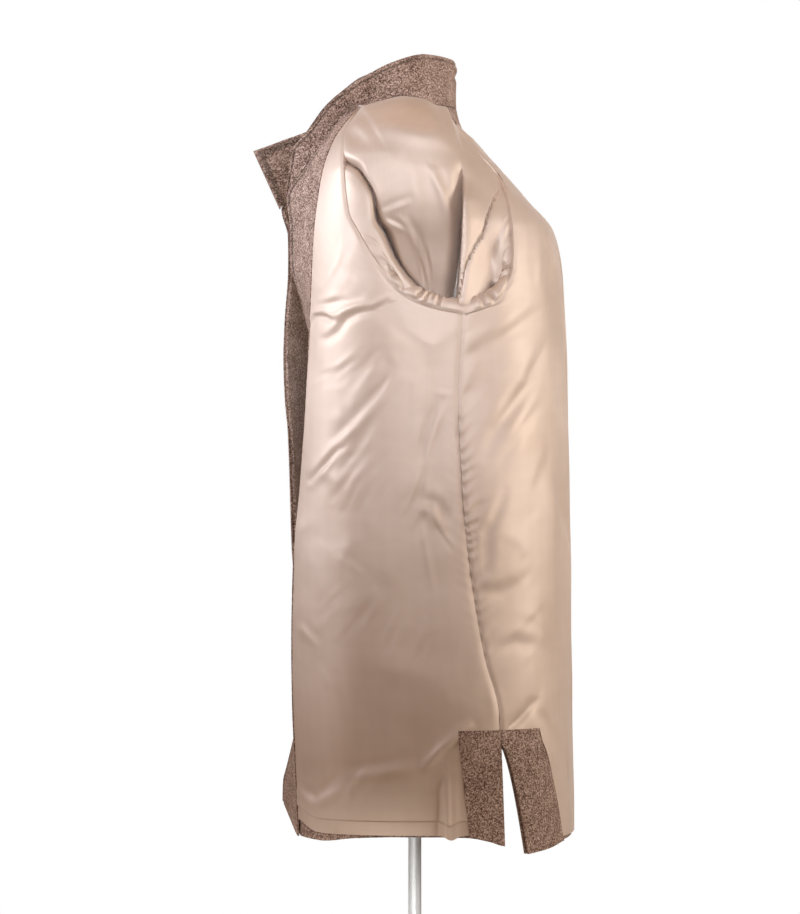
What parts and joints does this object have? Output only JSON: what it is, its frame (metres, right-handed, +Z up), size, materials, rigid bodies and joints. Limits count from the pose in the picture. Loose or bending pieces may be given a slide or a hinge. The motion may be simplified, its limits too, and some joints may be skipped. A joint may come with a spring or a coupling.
{
  "type": "wool coat on a dress form",
  "caption": "Wool coat with a standing collar and raglan sleeves, inside out so that its satin lining shows, open in front on a limbless dress form with a pole and a round base.",
  "frame": {"origin": "on the floor, at the middle of the base's underside, under the pole", "axes": "+Z is up, the coat's front faces -Y and its left side is +X"},
  "size_m": [0.4306, 0.3714, 1.4397],
  "materials": {
    "wool": "heathered brushed wool",
    "lining": "glossy satin",
    "form": "plain cotton jersey over foam",
    "steel": "brushed"
  },
  "bodies": {
    "root": {"front_left": "wool", "front_right": "wool", "back": "wool", "collar": "wool", "front_facing_left": "wool", "front_facing_right": "wool", "slit_facing_front_left": "wool", "slit_facing_back_left": "wool", "slit_facing_front_right": "wool", "slit_facing_back_right": "wool", "sleeve_left": "wool", "sleeve_right": "wool", "back_neck_facing": "wool", "lining_front_left": "lining", "lining_front_right": "lining", "lining_back": "lining", "sleeve_lining_left": "lining", "sleeve_lining_right": "lining", "form": "form", "pole": "steel", "hub": "steel", "base": "steel"}
  },
  "joints": []
}
